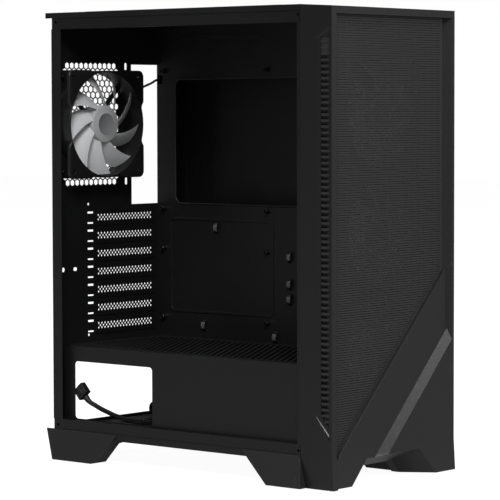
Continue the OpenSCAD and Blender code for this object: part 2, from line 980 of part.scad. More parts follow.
front_io_cable();
cable_plug();
rear_fan_cable();
fan_hub();
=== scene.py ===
"""Looks of a mid-tower computer case with its left panel off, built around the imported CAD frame."""
import json
import math

import bmesh
import bpy
from mathutils import Matrix, Vector

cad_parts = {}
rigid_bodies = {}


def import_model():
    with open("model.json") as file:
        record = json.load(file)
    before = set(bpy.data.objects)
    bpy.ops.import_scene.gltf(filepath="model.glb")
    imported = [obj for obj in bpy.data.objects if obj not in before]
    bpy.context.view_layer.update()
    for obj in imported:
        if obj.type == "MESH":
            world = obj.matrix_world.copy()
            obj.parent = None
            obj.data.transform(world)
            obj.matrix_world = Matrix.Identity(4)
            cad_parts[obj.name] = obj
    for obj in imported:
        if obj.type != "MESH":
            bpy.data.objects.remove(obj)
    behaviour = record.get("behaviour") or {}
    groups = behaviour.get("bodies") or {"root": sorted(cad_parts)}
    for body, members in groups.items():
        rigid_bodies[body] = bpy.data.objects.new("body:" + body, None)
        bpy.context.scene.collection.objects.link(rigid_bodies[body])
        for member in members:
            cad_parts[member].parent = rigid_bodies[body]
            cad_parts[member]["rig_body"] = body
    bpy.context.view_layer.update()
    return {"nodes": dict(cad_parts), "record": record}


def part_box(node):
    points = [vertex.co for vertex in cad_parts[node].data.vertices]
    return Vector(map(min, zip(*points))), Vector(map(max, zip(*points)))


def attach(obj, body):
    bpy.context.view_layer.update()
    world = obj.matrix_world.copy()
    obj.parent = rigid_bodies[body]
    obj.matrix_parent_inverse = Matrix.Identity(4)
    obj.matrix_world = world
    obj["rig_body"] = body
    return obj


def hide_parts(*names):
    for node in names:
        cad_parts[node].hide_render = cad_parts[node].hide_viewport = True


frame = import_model()
MM = 0.001


# ---------------- materials

def shader(name, color, rough, metallic=0.0, **sockets):
    """A new material: its node tree, links and Principled shader, with the constant values set."""
    mat = bpy.data.materials.new(name)
    mat.use_nodes = True
    tree = mat.node_tree
    bsdf = tree.nodes["Principled BSDF"]
    bsdf.inputs["Base Color"].default_value = (*color, 1)
    bsdf.inputs["Roughness"].default_value = rough
    bsdf.inputs["Metallic"].default_value = metallic
    for key, value in sockets.items():
        bsdf.inputs[key.replace("_", " ")].default_value = value
    return mat, tree, bsdf


def object_space(tree, scale=(1, 1, 1), shift=(0, 0, 0)):
    """The object's own coordinates in metres, scaled and then shifted."""
    coords = tree.nodes.new("ShaderNodeTexCoord")
    mapping = tree.nodes.new("ShaderNodeMapping")
    mapping.inputs["Scale"].default_value = scale
    mapping.inputs["Location"].default_value = shift
    tree.links.new(coords.outputs["Object"], mapping.inputs["Vector"])
    return mapping.outputs["Vector"]


def map_range(tree, socket, **limits):
    """A value taken from one range to another: From_Min, From_Max, To_Min and To_Max, each a number
    or a socket."""
    span = tree.nodes.new("ShaderNodeMapRange")
    for key, value in limits.items():
        limit = span.inputs[key.replace("_", " ")]
        if isinstance(value, bpy.types.NodeSocket):
            tree.links.new(value, limit)
        else:
            limit.default_value = value
    tree.links.new(socket, span.inputs["Value"])
    return span.outputs["Result"]


def noise_node(tree, scale, detail, stretch=(1, 1, 1)):
    """Noise in the object's own coordinates: scale is waves per metre."""
    noise = tree.nodes.new("ShaderNodeTexNoise")
    noise.inputs["Scale"].default_value = scale
    noise.inputs["Detail"].default_value = detail
    tree.links.new(object_space(tree, stretch), noise.inputs["Vector"])
    return noise


def bump(tree, bsdf, height_socket, depth, strength=1.0, below=None):
    """Bump of a real depth in metres, on top of another bump if one is given."""
    node = tree.nodes.new("ShaderNodeBump")
    node.inputs["Strength"].default_value = strength
    node.inputs["Distance"].default_value = depth
    tree.links.new(height_socket, node.inputs["Height"])
    if below is not None:
        tree.links.new(below.outputs["Normal"], node.inputs["Normal"])
    tree.links.new(node.outputs["Normal"], bsdf.inputs["Normal"])
    return node


def scaled(color, factor):
    return (*(c * factor for c in color), 1)


NOISE_SPAN = {"From_Min": 0.3, "From_Max": 0.7}    # most of a noise's values lie between these


def surface(name, color, rough, tones, swing, slow, fine, depth, by_fine=False, metallic=0.0,
            flow=0.0, **sockets):
    """A surface whose tone wanders with a slow noise and whose bump is a fine one.

    tones are factors on the colour, swing how far the roughness goes down and up, slow and fine
    noise settings, and depth and flow the fine and the slow bump's depth in metres."""
    mat, tree, bsdf = shader(name, color, rough, metallic, **sockets)
    slow, fine = (noise_node(tree, *settings).outputs["Fac"] for settings in (slow, fine))
    mix = tree.nodes.new("ShaderNodeMix")
    mix.data_type = "RGBA"
    for key, factor in zip("AB", tones):
        mix.inputs[key].default_value = scaled(color, factor)
    tree.links.new(slow, mix.inputs["Factor"])
    tree.links.new(mix.outputs["Result"], bsdf.inputs["Base Color"])
    sheen = map_range(tree, fine if by_fine else slow, To_Min=rough - swing[0],
                      To_Max=rough + swing[1], **NOISE_SPAN)
    tree.links.new(sheen, bsdf.inputs["Roughness"])
    grain = bump(tree, bsdf, fine, depth)
    if flow:
        bump(tree, bsdf, slow, flow, 0.5, grain)
    return mat


def powder_coat(name, color, rough):
    """Powder-coated sheet steel: fine orange peel, with slow changes of sheen over the sheet."""
    return surface(name, color, rough, (0.85, 1.2), (0.04, 0.05), (9.0, 2.0), (1400.0, 2.0),
                   0.00003, Specular_IOR_Level=0.5)


def moulded(name, color, rough, grain=2200.0, flow=0.0):
    """Moulded plastic with a spark-eroded texture and faint flow marks."""
    return surface(name, color, rough, (0.88, 1.15), (0.06, 0.06), (14.0, 3.0, (1, 1, 0.35)),
                   (grain, 3.0), 0.00004, True, flow=flow, Specular_IOR_Level=0.45)


def metal(name, color, rough, brush=(1, 1, 1), scale=900.0, depth=0.00001):
    """Bare or plated metal, with fine tool marks along one direction."""
    marks = (scale, 3.0, brush)
    return surface(name, color, rough, (0.85, 1.1), (0.07, 0.1), marks, marks, depth, metallic=1.0)


def frosted(name, color, rough, clear):
    """Translucent moulded plastic that lets soft light through."""
    return surface(name, color, rough, (0.93, 1.0), (0.04, 0.05), (60.0, 2.0), (2600.0, 2.0),
                   0.00001, Transmission_Weight=clear, IOR=1.3, Specular_IOR_Level=0.4)


def ribbed_rubber(name, color, rough, ribs=900.0):
    """Soft rubber or cable jacket with a faint weave."""
    return surface(name, color, rough, (0.8, 1.5), (0.08, 0.08), (70.0, 2.0), (ribs, 2.0), 0.00006,
                   True, Specular_IOR_Level=0.4)


def circuit_board(name, color):
    """Solder mask over faint copper tracks."""
    mat, tree, bsdf = shader(name, color, 0.35, Coat_Weight=0.3, Coat_Roughness=0.2)
    brick = tree.nodes.new("ShaderNodeTexBrick")
    brick.inputs["Scale"].default_value = 160.0
    for key, factor in (("Color1", 0.8), ("Color2", 1.25), ("Mortar", 1.9)):
        brick.inputs[key].default_value = scaled(color, factor)
    tree.links.new(object_space(tree), brick.inputs["Vector"])
    tree.links.new(brick.outputs["Color"], bsdf.inputs["Base Color"])
    bump(tree, bsdf, brick.outputs["Fac"], 0.00005)
    return mat


STEEL = powder_coat("black_powder_coat", (0.0058, 0.006, 0.0064), 0.4)
# painted shade: a darker copy of the black coat for the tray, its cut-out lip and the slot covers,
# deep inside the case
STEEL_PAINTED_SHADE = powder_coat("black_powder_coat_painted_shade", (0.0046, 0.0047, 0.005), 0.42)
# painted highlight: a far lighter, glossier copy of the black coat, standing in for glints on the
# tray's hook crests
STEEL_PAINTED_GLINT = powder_coat("black_powder_coat_painted_glint", (0.09, 0.091, 0.093), 0.22)
BEZEL = moulded("bezel_abs", (0.0095, 0.0097, 0.01), 0.35, flow=0.00004)
# painted light: a lighter copy of the bezel plastic, so the feet read as lit where little light
# reaches them
FOOT_PAINTED_LIGHT = moulded("foot_abs_painted_light", (0.021, 0.0212, 0.0216), 0.42, flow=0.00004)
MESH = moulded("mesh_abs", (0.021, 0.0212, 0.0216), 0.45)
# painted light: a lighter copy of the bezel plastic, standing in for the light the louvres' faces
# catch
SLAT_PAINTED_LIGHT = moulded("slat_abs_painted_light", (0.024, 0.0243, 0.025), 0.34)
DARK = moulded("fan_frame_pbt", (0.0095, 0.0096, 0.01), 0.38)
BLADE = frosted("frosted_blade", (0.8, 0.81, 0.82), 0.4, 0.35)
HUB = moulded("hub_abs", (0.4, 0.405, 0.41), 0.4, 1500.0)
CAP = moulded("hub_cap_abs", (0.2, 0.203, 0.207), 0.35, 1500.0)
COPPER = metal("winding_copper", (0.72, 0.34, 0.18), 0.35, (1, 8, 1), 600.0, 0.00005)
BLACK_SCREW = metal("black_zinc", (0.05, 0.05, 0.052), 0.35)
TIN = metal("tinned_steel", (0.62, 0.62, 0.64), 0.28, (1, 1, 5))
BOARD = circuit_board("solder_mask", (0.006, 0.035, 0.016))
RUBBER = ribbed_rubber("foot_rubber", (0.012, 0.012, 0.012), 0.75)
CABLE = ribbed_rubber("cable_jacket", (0.009, 0.009, 0.0095), 0.5, 1400.0)
NYLON = moulded("natural_nylon", (0.62, 0.61, 0.57), 0.4)
NET = moulded("filter_net_nylon", (0.01, 0.01, 0.0105), 0.6)


# ---------------- camera and stage

CAMERA_AT = (-2.1212, -1.8056, 0.3877)
YAW, PITCH, ROLL = (math.radians(a) for a in (49.658, -3.159, -0.126))
LENS, SENSOR = 184.70, 36
FLOOR_REACH = 9.0
FLOOR_SEEN, WORLD_SEEN = 0.96, 1.0    # strengths where the camera looks straight at them
WORLD_LIGHT = 0.075                   # the surround's strength as light on the object
GLOW = (0.08, 0.22)                   # the floor's strength as light: around and under the case
LIGHTS = (                            # name, place, target, size in metres, watts
    ("overhead", (0, 0.4, 3.2), (0, 0.2, 0), (4.5, 4.5), 78),
    ("key", (-2.25, -1.8, 2.4), (0, 0.05, 0.3), (1.5, 1.3), 98),
    ("front_high", (1.01, -2.3, 1.05), (0.05, -0.2, 0.15), (0.9, 0.7), 13),
    ("front_right", (2.2, -1.95, 0.45), (0, -0.2, 0.25), (1.5, 1.6), 2.2))


def placed(name, data):
    """A new object in the scene."""
    made = bpy.data.objects.new(name, data)
    bpy.context.scene.collection.objects.link(made)
    return made


def aim_camera():
    """The photograph's view: from the front left, through a long lens, looking slightly down."""
    level = math.cos(PITCH)
    forward = Vector((math.sin(YAW) * level, math.cos(YAW) * level, math.sin(PITCH)))
    right = Vector((math.cos(YAW), -math.sin(YAW), 0))
    up = right.cross(forward)
    right, up = (right * math.cos(ROLL) + up * math.sin(ROLL),
                 up * math.cos(ROLL) - right * math.sin(ROLL))
    data = bpy.data.cameras.new("camera")
    data.sensor_width, data.lens = SENSOR, LENS
    data.clip_start, data.clip_end = 0.05, 30
    camera = placed("camera", data)
    turn = Matrix((right, up, -forward)).transposed().to_4x4()
    camera.matrix_world = Matrix.Translation(CAMERA_AT) @ turn
    bpy.context.scene.camera = camera


def area_light(name, place, target, size, power):
    """A soft box at a place, turned to a target, that is never seen itself."""
    data = bpy.data.lights.new(name, "AREA")
    data.shape = "RECTANGLE"
    data.size, data.size_y = size
    data.energy = power
    light = placed(name, data)
    light.location = place
    light.rotation_euler = (Vector(target) - Vector(place)).to_track_quat("-Z", "Y").to_euler()
    light.visible_camera = False


def glow_under(tree):
    """The floor's glow, stronger below the case, whose dark underside would otherwise hide it."""
    ball = tree.nodes.new("ShaderNodeTexGradient")
    ball.gradient_type = "SPHERICAL"
    tree.links.new(object_space(tree, (4.0, 4.0, 4.0), (0, 0.5, 0)), ball.inputs["Vector"])
    return map_range(tree, ball.outputs["Fac"], From_Max=0.5, To_Min=GLOW[0], To_Max=GLOW[1])


def by_ray(tree, seen, light):
    """One strength where the camera looks straight at it, and another for light and reflections."""
    path = tree.nodes.new("ShaderNodeLightPath")
    return map_range(tree, path.outputs["Is Camera Ray"], To_Min=light, To_Max=seen)


def build_stage():
    """Plain pale floor and soft studio light."""
    mesh = bpy.data.meshes.new("floor")
    r = FLOOR_REACH
    mesh.from_pydata([(-r, -r, 0), (r, -r, 0), (r, r, 0), (-r, r, 0)], [], [(0, 1, 2, 3)])
    floor = placed("floor", mesh)
    mat, tree, bsdf = shader("pale_floor", (0.3, 0.3, 0.3), 0.9, Specular_IOR_Level=0.0)
    bsdf.inputs["Emission Color"].default_value = (1, 1, 1, 1)
    glow = by_ray(tree, FLOOR_SEEN, glow_under(tree))
    tree.links.new(glow, bsdf.inputs["Emission Strength"])
    mesh.materials.append(mat)
    studio_world()
    for light in LIGHTS:
        area_light(*light)
    bpy.context.scene.view_settings.view_transform = "Standard"


def studio_world():
    """A white surround that is seen at one strength and lights the object at another."""
    world = bpy.data.worlds.new("studio")
    bpy.context.scene.world = world
    world.use_nodes = True
    tree = world.node_tree
    background = tree.nodes["Background"]
    background.inputs["Color"].default_value = (1, 1, 1, 1)
    tree.links.new(by_ray(tree, WORLD_SEEN, WORLD_LIGHT), background.inputs["Strength"])


aim_camera()


# ---------------- mesh helpers

def shade(mesh, angle):
    mesh.shade_smooth()
    mesh.set_sharp_from_angle(angle=math.radians(angle))


def mesh_of(bm, name, materials=(), smooth_angle=None):
    """A new mesh from a bmesh, which is freed. It is smooth below an angle, if one is given."""
    mesh = bpy.data.meshes.new(name)
    bm.to_mesh(mesh)
    bm.free()
    for material in materials:
        mesh.materials.append(material)
    if smooth_angle:
        shade(mesh, smooth_angle)
    return mesh


def piece(name, bm, material, smooth_angle=35):
    """A new object from a bmesh, in one material or a list of them."""
    bmesh.ops.recalc_face_normals(bm, faces=bm.faces)
    materials = material if isinstance(material, list) else [material]
    return placed(name, mesh_of(bm, name, materials, smooth_angle))


def ring_of(bm, points, matrix=Matrix()):
    """New vertices at points given in millimetres."""
    return [bm.verts.new(matrix @ (Vector(p) * MM)) for p in points]


def angles(count):
    return [2 * math.pi * k / count for k in range(count)]


def bridge(bm, rings, around=False, index=0):
    """Faces from ring to ring. A ring of one vertex is a tip; around also joins last to first."""
    for low, high in zip(rings, rings[1:] + (rings[:1] if around else [])):
        n = max(len(low), len(high))
        for k in range(n):
            j = (k + 1) % n
            if len(low) == 1:
                face = bm.faces.new((low[0], high[j], high[k]))
            elif len(high) == 1:
                face = bm.faces.new((low[k], low[j], high[0]))
            else:
                face = bm.faces.new((low[k], low[j], high[j], high[k]))
            face.material_index = index


def tube(bm, rings):
    """A closed skin over rings of the same number of vertices."""
    bridge(bm, rings)
    bm.faces.new(rings[0][::-1])
    bm.faces.new(rings[-1])


def loft(bm, rings):
    """A closed loft through rings that run the other way round than a tube's."""
    bm.faces.new(rings[0])
    bm.faces.new(rings[-1][::-1])
    n = len(rings[0])
    for a, b in zip(rings, rings[1:]):
        for i in range(n):
            bm.faces.new((a[i], b[i], b[(i + 1) % n], a[(i + 1) % n]))


def loft_y(bm, stations):
    """A closed loft along Y through outlines in X and Z: (y, outline) pairs."""
    loft(bm, [ring_of(bm, [(x, y, z) for x, z in outline]) for y, outline in stations])


def add_box(bm, low, high, matrix=Matrix()):
    """A closed box in a bmesh from corner to corner, in millimetres."""
    v = ring_of(bm, [(x, y, z) for x in (low[0], high[0]) for y in (low[1], high[1])
                     for z in (low[2], high[2])], matrix)
    for corners in ((0, 1, 3, 2), (4, 6, 7, 5), (0, 4, 5, 1), (2, 3, 7, 6), (0, 2, 6, 4),
                    (1, 5, 7, 3)):
        bm.faces.new([v[c] for c in corners])


def add_hull(bm, points):
    """The convex hull of some points, in millimetres."""
    made = bmesh.ops.convex_hull(bm, input=ring_of(bm, points))
    loose = [e for e in made["geom_interior"] if isinstance(e, bmesh.types.BMVert)]
    bmesh.ops.delete(bm, geom=loose, context="VERTS")


def add_turned(bm, profile, matrix, steps=48, index=0):
    """A shape turned about its own axis. The profile is (radius, height) pairs in millimetres, and
    a third value draws every other point in by that much."""
    rings = []
    for r, h, *notch in profile:
        inset = notch[0] if notch else 0
        points = [(0, 0, h)] if r == 0 else [
            ((r - inset * (k % 2)) * math.cos(a), (r - inset * (k % 2)) * math.sin(a), h)
            for k, a in enumerate(angles(steps))]
        rings.append(ring_of(bm, points, matrix))
    bridge(bm, rings, index=index)


def facing(axis, place):
    """The matrix that turns +Z to an axis and moves to a place given in millimetres."""
    turn = Vector(axis).to_track_quat("Z", "Y").to_matrix().to_4x4()
    return Matrix.Translation(Vector(place) * MM) @ turn


ALONG_Y = facing((0, -1, 0), (0, 0, 0))    # the fans' axis, pointing forward


def solid_of(build):
    """A scratch mesh object from a function that fills a bmesh."""
    bm = bmesh.new()
    build(bm)
    bmesh.ops.recalc_face_normals(bm, faces=bm.faces)
    return placed("scratch", mesh_of(bm, "scratch"))


def scratch_copy(node):
    """A scratch object with a CAD node's own shape."""
    return placed("scratch", frame["nodes"][node].data.copy())


def carve(base, cutters, operation="DIFFERENCE"):
    """Applies exact booleans to a scratch object, in order, and returns it."""
    for build in cutters:
        tool = solid_of(build)
        mod = base.modifiers.new("carve", "BOOLEAN")
        mod.operation, mod.solver, mod.object = operation, "EXACT", tool
        bpy.context.view_layer.update()
        graph = bpy.context.evaluated_depsgraph_get()
        done = bpy.data.meshes.new_from_object(base.evaluated_get(graph))
        base.modifiers.clear()
        old, base.data = base.data, done
        bpy.data.meshes.remove(old)
        bpy.data.objects.remove(tool)
    return base


def finished(scratch, name, material, width, segments=2, angle=28, smooth_angle=40):
    """A piece from a scratch solid, with flat faces merged and its sharp edges rounded."""
    bm = bmesh.new()
    bm.from_mesh(scratch.data)
    bpy.data.objects.remove(scratch)
    round_edges(bm, width, segments, angle)
    return level_faces(piece(name, bm, material, smooth_angle))


def level_faces(made):
    """Keeps broad flat faces flat in shading beside their rounded edges."""
    normals = made.modifiers.new("face_normals", "WEIGHTED_NORMAL")
    normals.keep_sharp = True
    normals.weight = 100
    return made


FLAT_WITHIN = 0.6    # faces that turn by less than this many degrees are merged


def round_edges(bm, width, segments, angle):
    """Merges flat faces, then rounds the edges sharper than an angle, over a width."""
    bmesh.ops.remove_doubles(bm, verts=bm.verts, dist=0.01 * MM)
    bmesh.ops.dissolve_limit(bm, angle_limit=math.radians(FLAT_WITHIN), verts=bm.verts,
                             edges=bm.edges)
    sharp = [e for e in bm.edges if e.is_manifold and e.calc_face_angle(0) > math.radians(angle)]
    bmesh.ops.bevel(bm, geom=sharp, offset=width * MM, offset_type="OFFSET", segments=segments,
                    profile=0.5, affect="EDGES", clamp_overlap=True)


def boxes(name, spans, material, width, matrix=Matrix()):
    """A piece of several boxes with softened edges: (low, high) pairs."""
    bm = bmesh.new()
    for low, high in spans:
        add_box(bm, low, high, matrix)
    round_edges(bm, width, 1, 30)
    return piece(name, bm, material)


def rounded_copy(node, name, material, width, segments=1, angle=30, smooth_angle=35):
    """A piece in a CAD node's own shape, with its sharp edges rounded."""
    bm = bmesh.new()
    bm.from_mesh(frame["nodes"][node].data)
    round_edges(bm, width, segments, angle)
    return piece(name, bm, material, smooth_angle)


def refined(node, name, material, width, segments=2, angle=28):
    """A piece that stands for a CAD node: its rounded copy, shaded flat on its broad faces."""
    made = level_faces(rounded_copy(node, name, material, width, segments, angle, 40))
    return stand_for(made, node)


def body_of(node):
    return frame["nodes"][node]["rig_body"]


def slot_of(node):
    return next(s["material_slot"] for s in frame["record"]["subparts"] if s["node"] == node)


def stand_for(made, node):
    """The piece rides on a CAD node's body and replaces it; the node's material slot is looked up but
    not given to it.
    """
    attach(made, body_of(node))
    slot_of(node)
    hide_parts(node)
    return made


def dress(node, material):
    """Gives a CAD node that is shown as it is a better material."""
    mesh = frame["nodes"][node].data
    mesh.materials.clear()
    mesh.materials.append(material)


# ---------------- cables, which come first

IO_CABLE_PATH = [
    (78, -142, 471), (78, -142, 455), (79, -141, 440), (81, -136, 424), (83, -128, 407),
    (84, -118, 389), (84, -104, 367), (84, -90, 345), (84, -75, 323), (84, -61, 302),
    (84, -46, 281), (84, -33, 264), (84, -19, 247), (84, -5, 231), (84, 9, 215), (84, 23, 199),
    (84, 36, 182), (84, 48, 165), (84, 59, 147), (84, 68, 129), (84, 76, 111), (83, 83, 95),
    (81, 88, 84), (76, 91, 76), (68, 92, 72), (60, 92, 70), (50, 93, 62), (40, 95, 52),
    (28, 98, 43), (14, 101, 39), (0, 105, 38), (-14, 110, 38), (-28, 116, 38.5), (-42, 122, 40),
    (-56, 128, 44), (-68, 134, 49), (-78, 141, 55), (-85, 147, 60.5), (-89, 153, 65),
    (-90, 158, 70)]
IO_CABLE_D = 6.0
IO_BUNDLE = (7, 1.9, 1.75, 64)    # wires, their diameter, their turns' radius, points in a turn
PLUG_AT, PLUG_TURN = Vector((-90, 158, 70)), 48.0
FAN_CABLE_PATH = [
    (17.5, 191, 404), (24, 190.5, 406), (34, 190, 410), (44, 190, 413.5), (54, 190, 417),
    (62, 190, 420), (69, 190, 421), (75, 189, 419), (79, 187, 411), (80, 185, 398),
    (80, 182, 370), (80, 181, 335), (80, 180, 302), (80, 178.5, 281), (80, 171, 268),
    (80, 154, 263), (79.5, 131, 262.5), (79, 111, 262.5), (78, 99.5, 260), (78, 96, 252)]
FAN_BUNDLE = (3, 1.4, 0.8, 42)
PER_SPAN = 6


def smooth_path(points):
    """Points along a smooth curve through the given ones (Catmull-Rom), in millimetres."""
    p = [Vector(q) for q in points]
    p = [2 * p[0] - p[1]] + p + [2 * p[-1] - p[-2]]
    out = []
    for a, b, c, d in zip(p, p[1:], p[2:], p[3:]):
        for k in range(PER_SPAN):
            t = k / PER_SPAN
            out.append(0.5 * (2 * b + (c - a) * t + (2 * a - 5 * b + 4 * c - d) * t * t
                              + (3 * b - a - 3 * c + d) * t ** 3))
    return out + [p[-2]]


def frames_along(path):
    """At each point of a path, two unit vectors square to it that don't twist along the way."""
    side = None
    for i in range(len(path)):
        along = (path[min(i + 1, len(path) - 1)] - path[max(i - 1, 0)]).normalized()
        if side is None:
            side = along.orthogonal().normalized()
        side = (side - along * side.dot(along)).normalized()
        yield side, along.cross(side)


def swept(bm, path, radii, sides):
    """A closed tube along a path, with a radius for each point, in millimetres."""
    tube(bm, [ring_of(bm, [c + (side * math.cos(a) + other * math.sin(a)) * r for a in angles(sides)])
              for c, r, (side, other) in zip(path, radii, frames_along(path))])


def twisted(centre, share, radius, turn):
    """One wire's own path round a bundle's centre line: it goes once round in so many points."""
    lane = []
    for i, (c, (side, other)) in enumerate(zip(centre, frames_along(centre))):
        a = 2 * math.pi * (share + i / turn)
        lane.append(c + (side * math.cos(a) + other * math.sin(a)) * radius)
    return lane


def bundle(name, path, wires, wire_d, radius, turn):
    """A bundle of thin wires that turn round a centre line."""
    bm = bmesh.new()
    for k in range(wires):
        swept(bm, twisted(path, k / wires, radius, turn), [wire_d / 2] * len(path), 8)
    return piece(name, bm, CABLE)


def build_io_cable():
    """The front panel lead: from its socket under the controls, behind the tray, to the bay."""
    path = smooth_path(IO_CABLE_PATH)
    cable = bundle("front_panel_cable", path, *IO_BUNDLE)
    stand_for(cable, "front_io_cable")
    plug = build_plug(path)
    length = sum((b - a).length for a, b in zip(path, path[1:])) * MM
    [c * MM for c in IO_CABLE_PATH[0]]


PLUG_BODY = (-3.6, 1.2, -7.4), (3.6, 14.8, 7.4)
PLUG_MOUTH = (-2.5, 10, -6.4), (2.5, 18, 6.4)
PLUG_LATCH = (-4.8, 5, -2.2), (-3.4, 13, 2.2)
PLUG_RIBS = (-4.8, -2.4, 0, 2.4, 4.8)
PIN_PITCH = 2.54
COLLAR = 9    # the collar covers this many of the path's last points


def build_plug(path):
    """The plug: a ribbed housing with a latch, a keyed mouth and a collar round the cable."""
    turn = Matrix.Translation(PLUG_AT * MM) @ Matrix.Rotation(math.radians(PLUG_TURN), 4, "X")
    base = solid_of(lambda bm: add_box(bm, *PLUG_BODY, turn))
    carve(base, [lambda bm: add_box(bm, *PLUG_MOUTH, turn)])
    body = finished(base, "front_panel_plug", DARK, 0.9, 3)
    spans = [((-3.9, 4.4, z - 0.5), (3.9, 8.4, z + 0.5)) for z in PLUG_RIBS] + [PLUG_LATCH]
    spans += [((x - 0.3, 9.8, -5.4 + PIN_PITCH * k), (x + 0.3, 14, -4.8 + PIN_PITCH * k))
              for x in (-PIN_PITCH / 2, PIN_PITCH / 2) for k in range(5)]
    boxes("front_panel_plug_ribs", spans, DARK, 0.15, turn).parent = body
    bm = bmesh.new()
    radii = [IO_CABLE_D / 2 * (0.8 + 0.4 * i / (COLLAR - 1)) * (1.06 if i % 2 else 0.98)
             for i in range(COLLAR)]
    swept(bm, path[-COLLAR:], radii, 16)
    piece("front_panel_plug_boot", bm, CABLE).parent = body
    return stand_for(body, "cable_plug")


def build_fan_cable():
    """Three thin wires twisted together, from the rear fan to the hub behind the tray."""
    wires = bundle("rear_fan_wires", smooth_path(FAN_CABLE_PATH), *FAN_BUNDLE)
    stand_for(wires, "rear_fan_cable")


build_io_cable()
build_fan_cable()


# ---------------- front bezel

SIDE = 105.0            # half the case's width
CASE_H = 493.0
SEAM, FRONT, TOE = -160.3, -201.0, -203.0    # y of the back, the face and the toes
PANEL, DEEP = -197.0, -192.5                 # y of the diagonal panel and the mesh's recess
RIM_L, RIM_R, RIM_TOP = -97.0, 101.0, 483.0  # the face's rims
DEEP_R = 93.0
MESH_Z = 121.5          # the mesh's lower edge is z = x + this
STRIP_OUT, STRIP_IN = 40.0, 56.0   # the bevel strip lies between z = x + these
CHIN, CHIN_X, LEG_X = 29.0, 43.0, 71.0       # the arch: height, and half its width above and below
BACK_CHIN, BACK_CHIN_X, BACK_LEG = 15.0, 36.0, 50.0    # the same at its back
ARCH_BACK = -170.0
BEYOND = -206.0         # in front of everything


def bezel_block(bm):
    """The outer form: straight back, face that leans out at the toes and falls at the top."""
    profile = [(SEAM, 1), (SEAM, CASE_H), (FRONT, CASE_H - 2.3), (FRONT, 34), (TOE, 1)]
    loft(bm, [ring_of(bm, [(x, y, z) for y, z in profile]) for x in (-SIDE, SIDE)])


def arch_at(y):
    """The arch's outline at a depth: it narrows and drops from the face to its back."""
    s = (y - FRONT) / (ARCH_BACK - FRONT)
    leg = LEG_X + (BACK_LEG - LEG_X) * s
    chin = CHIN + (BACK_CHIN - CHIN) * s
    top_x = CHIN_X + (BACK_CHIN_X - CHIN_X) * s
    return [(-leg, -1.0), (-top_x, chin), (top_x, chin), (leg, -1.0)]


def arch_cut(bm):
    loft_y(bm, [(y, arch_at(y)) for y in (BEYOND, ARCH_BACK)])


def arch_back_cut(bm):
    loft_y(bm, [(y, arch_at(ARCH_BACK)) for y in (ARCH_BACK - 0.5, SEAM + 10.3)])


def panel_outline(strip, right):
    """Outline of the recess above the bevel strip, out to the right facet and the rims."""
    low = CHIN + 2.0
    return [(RIM_L, -3.0), (-60.0, -3.0), (low - strip, low), (right, right + strip),
            (right, RIM_TOP), (RIM_L, RIM_TOP)]


def panel_cut(bm):
    """The diagonal panel's recess; the bevel strip and the right facet are its sloping walls."""
    depth, strip = PANEL - FRONT, STRIP_IN - STRIP_OUT
    loft_y(bm, [(FRONT - depth, panel_outline(STRIP_OUT - strip, RIM_R + depth)),
                (PANEL, panel_outline(STRIP_IN, RIM_R - depth))])


def mesh_cut(bm):
    """The mesh's deeper recess, stepped down behind the diagonal panel."""
    left = RIM_L + 0.6
    loft_y(bm, [(y, [(left, RIM_L + MESH_Z), (r, r + MESH_Z), (r, RIM_TOP), (left, RIM_TOP)])
                for y, r in ((BEYOND, RIM_R + 5.0), (DEEP, DEEP_R))])


def mesh_window_cut(bm):
    left, right, top = RIM_L + 4, DEEP_R - 4, RIM_TOP - 4
    outline = [(left, left + MESH_Z + 6), (right, right + MESH_Z + 6), (right, top), (left, top)]
    loft_y(bm, [(DEEP - 2, outline), (DEEP + 5, outline)])


def hollow_cut(bm):
    wall = SIDE - 6.5
    add_box(bm, (-wall, DEEP + 3, CHIN + 8), (wall, SEAM + 3, CASE_H - 6))


SIDE_BACK, SIDE_FRONT = -178.0, -197.6    # the side recess slopes in towards its front edge
SIDE_DEPTH = 3.6
WINDOW = (-197.6, -186.0, 60.0, 459.5)    # the slatted window: y and z ranges
WINDOW_SLANT = 15.0                       # its back edge starts this much higher


def side_cut(sign):
    """The recess down one side: it slopes in towards the front, with a facet at each end."""
    def build(bm):
        out, far, deep = SIDE + 0.4, SIDE + 6, SIDE - SIDE_DEPTH
        points = [(out, SIDE_BACK, 79.0), (out, SIDE_FRONT, 51.0), (SIDE - 2.4, SIDE_FRONT, 52.0),
                  (deep, SIDE_FRONT, 54.4), (out, SIDE_BACK, 456.0), (out, SIDE_FRONT, 471.0),
                  (deep, SIDE_FRONT, 466.0), (far, SIDE_BACK + 2, 79.0), (far, SIDE_FRONT, 51.0),
                  (far, SIDE_BACK + 2, 456.0), (far, SIDE_FRONT, 471.0)]
        add_hull(bm, [(sign * x, y, z) for x, y, z in points])
    return build


def side_window_cut(sign):
    """The window in the side recess, whose lower back corner is slanted."""
    def build(bm):
        front, back, low, high = WINDOW
        outline = ((front, low), (front, high), (back, high), (back, low + WINDOW_SLANT))
        add_hull(bm, [(sign * x, y, z) for x in (SIDE - 4.6, SIDE + 2) for y, z in outline])
    return build


def mirrored_box(sign, low, high):
    """A cutter: a box given for the right side, or its mirror image on the left."""
    x0, x1 = sorted((sign * low[0], sign * high[0]))
    return lambda bm: add_box(bm, (x0, *low[1:]), (x1, *high[1:]))


def side_throat_cut(sign):
    """The window's throat, which opens into the hollow behind the front corner's solid edge."""
    return mirrored_box(sign, (SIDE - 8.0, -191.5, WINDOW[2] + 20),
                        (SIDE - 4.0, WINDOW[1] - 0.3, WINDOW[3] - 2))


def build_bezel():
    base = solid_of(bezel_block)
    carve(base, [arch_cut, arch_back_cut, hollow_cut, panel_cut, mesh_cut, mesh_window_cut])
    carve(base, [cut(sign) for cut in (side_cut, side_window_cut, side_throat_cut)
                 for sign in (-1, 1)])
    stand_for(finished(base, "bezel_shell", BEZEL, 0.7, 2, 12), "front_bezel")


